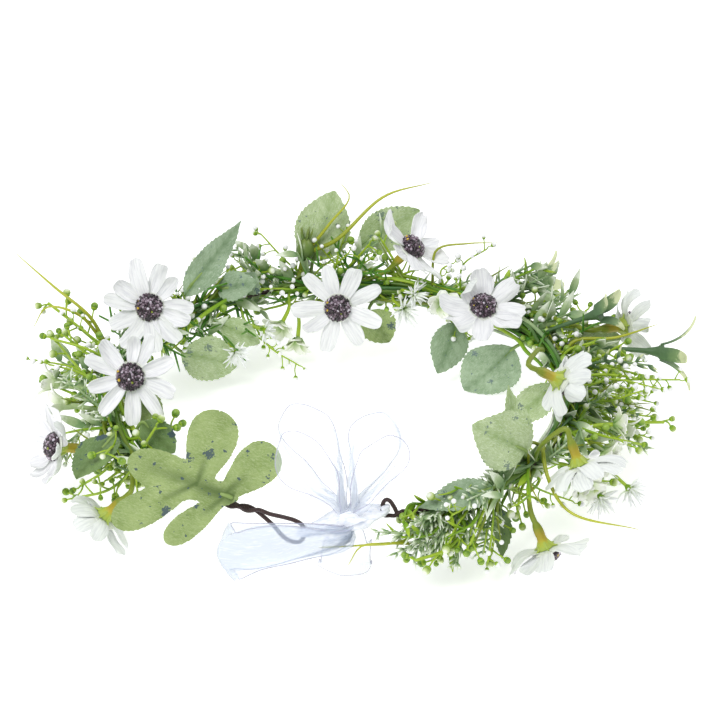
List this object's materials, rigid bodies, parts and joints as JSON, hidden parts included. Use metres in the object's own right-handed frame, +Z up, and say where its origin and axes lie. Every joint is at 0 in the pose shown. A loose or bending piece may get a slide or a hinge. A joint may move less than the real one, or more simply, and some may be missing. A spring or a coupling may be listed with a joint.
{
  "type": "flower crown",
  "caption": "Open ring of covered wire with daisies, speckled leaves, bud sprigs and grass bound to it, its ends tied by a sheer ribbon bow.",
  "frame": {"origin": "centre of the wire ring, in the plane of the wire, where the head goes through", "axes": "+Z up out of the ring's plane, as worn; -Y to the tied ends of the wire; +X to the right half of the ring, seen from the tied side"},
  "size_m": [0.3019, 0.2511, 0.0819],
  "materials": {
    "wire": "iron wire wrapped in dark brown floral paper, matt",
    "tape": "waxed crepe floral tape",
    "ribbon": "sheer white organza with fine hems",
    "petal": "starched white polyester, pressed creases",
    "centre": "glittery dark purple seed beads",
    "stem": "moulded polyethylene, yellow-green, yellow at the socket",
    "leaf": "printed woven polyester with slate-blue flecks and a moulded rib",
    "bud": "moulded polyethylene, lime twigs and pale buds",
    "trumpet": "moulded polyethylene, grey-green with pale tips",
    "grass": "moulded polyethylene blade, yellow-green"
  },
  "bodies": {
    "right_half": {"wire_right": "wire", "tape_back_right": "tape", "tape_front_right": "tape", "ribbon_knot": "ribbon", "ribbon_loop_left": "ribbon", "ribbon_loop_right": "ribbon", "ribbon_loop_front": "ribbon", "ribbon_tail": "ribbon", "daisy_back_stem": "stem", "daisy_back_high_stem": "stem", "daisy_back_right_stem": "stem", "daisy_right_stem": "stem", "daisy_right_low_stem": "stem", "daisy_front_right_stem": "stem", "daisy_far_right_stem": "stem", "leaf_back_middle": "leaf", "leaf_back_right": "leaf", "leaf_right_hanging": "leaf", "leaf_pair_right": "leaf", "leaf_front_right": "leaf", "bud_sprig_right": "bud", "bud_sprig_front": "bud", "trumpet_sprig_right": "trumpet", "trumpet_sprig_back": "trumpet", "grass_back": "grass"},
    "left_half": {"wire_left": "wire", "ribbon_link_left": "ribbon", "tape_left": "tape", "daisy_back_left_stem": "stem", "daisy_left_stem": "stem", "daisy_far_left_stem": "stem", "daisy_front_left_stem": "stem", "leaf_left_low": "leaf", "leaf_left_hanging": "leaf", "leaf_back_left": "leaf", "leaf_lobed": "leaf", "bud_sprig_left": "bud", "grass_left": "grass"},
    "head_back_left": {"daisy_back_left_petals": "petal", "daisy_back_left_centre": "centre"},
    "head_left": {"daisy_left_petals": "petal", "daisy_left_centre": "centre"},
    "head_far_left": {"daisy_far_left_petals": "petal", "daisy_far_left_centre": "centre"},
    "head_front_left": {"daisy_front_left_petals": "petal", "daisy_front_left_centre": "centre"},
    "head_back": {"daisy_back_petals": "petal", "daisy_back_centre": "centre"},
    "head_back_high": {"daisy_back_high_petals": "petal", "daisy_back_high_centre": "centre"},
    "head_back_right": {"daisy_back_right_petals": "petal", "daisy_back_right_centre": "centre"},
    "head_right": {"daisy_right_petals": "petal", "daisy_right_centre": "centre"},
    "head_right_low": {"daisy_right_low_petals": "petal", "daisy_right_low_centre": "centre"},
    "head_front_right": {"daisy_front_right_petals": "petal", "daisy_front_right_centre": "centre"},
    "head_far_right": {"daisy_far_right_petals": "petal", "daisy_far_right_centre": "centre"}
  },
  "joints": [
    {"name": "ring_opening", "type": "hinge", "parent": "right_half", "child": "left_half", "pos_m": [-0.03746, 0.09272, 0], "axis": [0, 0, -1], "range_deg": [0, 8]},
    {"name": "spin_back_left", "type": "hinge", "parent": "left_half", "child": "head_back_left", "pos_m": [-0.08469, 0.03595, 0.024], "axis": [-0.1, -0.8602, 0.5001], "continuous": true},
    {"name": "spin_left", "type": "hinge", "parent": "left_half", "child": "head_left", "pos_m": [-0.08957, -0.02501, 0.024], "axis": [-0.1002, -0.9016, 0.4208], "continuous": true},
    {"name": "spin_far_left", "type": "hinge", "parent": "left_half", "child": "head_far_left", "pos_m": [-0.12145, -0.03713, -0.004], "axis": [-0.9102, -0.3166, 0.2671], "continuous": true},
    {"name": "spin_front_left", "type": "hinge", "parent": "left_half", "child": "head_front_left", "pos_m": [-0.09993, -0.07102, -0.018], "axis": [-0.7058, -0.0605, -0.7058], "continuous": true},
    {"name": "spin_back", "type": "hinge", "parent": "right_half", "child": "head_back", "pos_m": [-0.0015, 0.08599, -0.004], "axis": [0, -0.9339, 0.3576], "continuous": true},
    {"name": "spin_back_high", "type": "hinge", "parent": "right_half", "child": "head_back_high", "pos_m": [0.03203, 0.09684, 0.021], "axis": [0.6085, -0.1995, 0.7681], "continuous": true},
    {"name": "spin_back_right", "type": "hinge", "parent": "right_half", "child": "head_back_right", "pos_m": [0.06454, 0.05893, 0.011], "axis": [0, -0.5026, 0.8645], "continuous": true},
    {"name": "spin_right", "type": "hinge", "parent": "right_half", "child": "head_right", "pos_m": [0.09475, -0.02503, 0.022], "axis": [0.8215, 0.1803, -0.541], "continuous": true},
    {"name": "spin_right_low", "type": "hinge", "parent": "right_half", "child": "head_right_low", "pos_m": [0.10095, -0.07201, 0.008], "axis": [0.3492, -0.2993, -0.888], "continuous": true},
    {"name": "spin_front_right", "type": "hinge", "parent": "right_half", "child": "head_front_right", "pos_m": [0.08683, -0.08992, -0.022], "axis": [0.3816, -0.2711, -0.8837], "continuous": true},
    {"name": "spin_far_right", "type": "hinge", "parent": "right_half", "child": "head_far_right", "pos_m": [0.12773, 0.04052, 0.012], "axis": [0.9424, 0.3308, -0.0501], "continuous": true}
  ]
}
